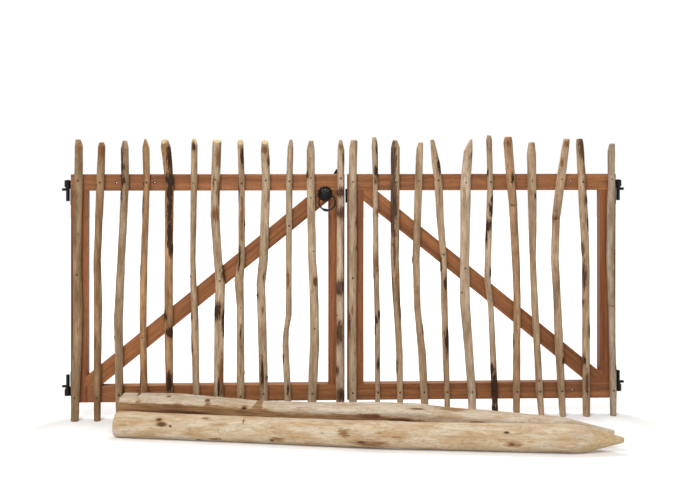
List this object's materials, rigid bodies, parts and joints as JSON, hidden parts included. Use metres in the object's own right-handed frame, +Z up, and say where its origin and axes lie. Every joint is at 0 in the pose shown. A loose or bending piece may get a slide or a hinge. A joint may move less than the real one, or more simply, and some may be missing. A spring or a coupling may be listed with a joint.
{
  "type": "double garden gate",
  "caption": "Double-leaf garden gate: peeled chestnut pales on braced hardwood frames, with eye hinges, a ring latch and its pointed posts lying in front.",
  "frame": {"origin": "middle of the end face of the lower left gudgeon's shank, where the hinge is fixed to its post", "axes": "+X along the closed gate to the right, +Y from the front to the back, +Z up"},
  "size_m": [2.435, 0.6159, 1.219],
  "materials": {
    "peeled_chestnut": "peeled, dry",
    "post_chestnut": "peeled and hewn",
    "frame_hardwood": "planed, bare",
    "black_steel": "black coating, satin"
  },
  "bodies": {
    "posts": {"left_gudgeons": "black_steel", "right_gudgeons": "black_steel", "front_post": "post_chestnut", "back_post": "post_chestnut"},
    "left_leaf": {"left_top_rail": "frame_hardwood", "left_bottom_rail": "frame_hardwood", "left_hinge_stile": "frame_hardwood", "left_meeting_stile": "frame_hardwood", "left_brace": "frame_hardwood", "left_pale_01": "peeled_chestnut", "left_pale_02": "peeled_chestnut", "left_pale_03": "peeled_chestnut", "left_pale_04": "peeled_chestnut", "left_pale_05": "peeled_chestnut", "left_pale_06": "peeled_chestnut", "left_pale_07": "peeled_chestnut", "left_pale_08": "peeled_chestnut", "left_pale_09": "peeled_chestnut", "left_pale_10": "peeled_chestnut", "left_pale_11": "peeled_chestnut", "left_pale_12": "peeled_chestnut", "left_hinge_plates": "black_steel", "latch_rosette": "black_steel"},
    "right_leaf": {"right_top_rail": "frame_hardwood", "right_bottom_rail": "frame_hardwood", "right_hinge_stile": "frame_hardwood", "right_meeting_stile": "frame_hardwood", "right_brace": "frame_hardwood", "right_pale_01": "peeled_chestnut", "right_pale_02": "peeled_chestnut", "right_pale_03": "peeled_chestnut", "right_pale_04": "peeled_chestnut", "right_pale_05": "peeled_chestnut", "right_pale_06": "peeled_chestnut", "right_pale_07": "peeled_chestnut", "right_pale_08": "peeled_chestnut", "right_pale_09": "peeled_chestnut", "right_pale_10": "peeled_chestnut", "right_pale_11": "peeled_chestnut", "right_pale_12": "peeled_chestnut", "right_hinge_plates": "black_steel", "latch_keeper": "black_steel"},
    "latch": {"latch_hub": "black_steel", "latch_ring": "black_steel", "latch_bar": "black_steel"}
  },
  "joints": [
    {"name": "left_leaf_swing", "type": "hinge", "parent": "posts", "child": "left_leaf", "pos_m": [0.024, 0, 0], "axis": [0, 0, 1], "range_deg": [0, 90]},
    {"name": "right_leaf_swing", "type": "hinge", "parent": "posts", "child": "right_leaf", "pos_m": [2.411, 0, 0], "axis": [0, 0, -1], "range_deg": [0, 90]},
    {"name": "latch_turn", "type": "hinge", "parent": "left_leaf", "child": "latch", "pos_m": [1.1275, 0, 0.8257], "axis": [0, 1, 0], "range_deg": [0, 60]}
  ]
}
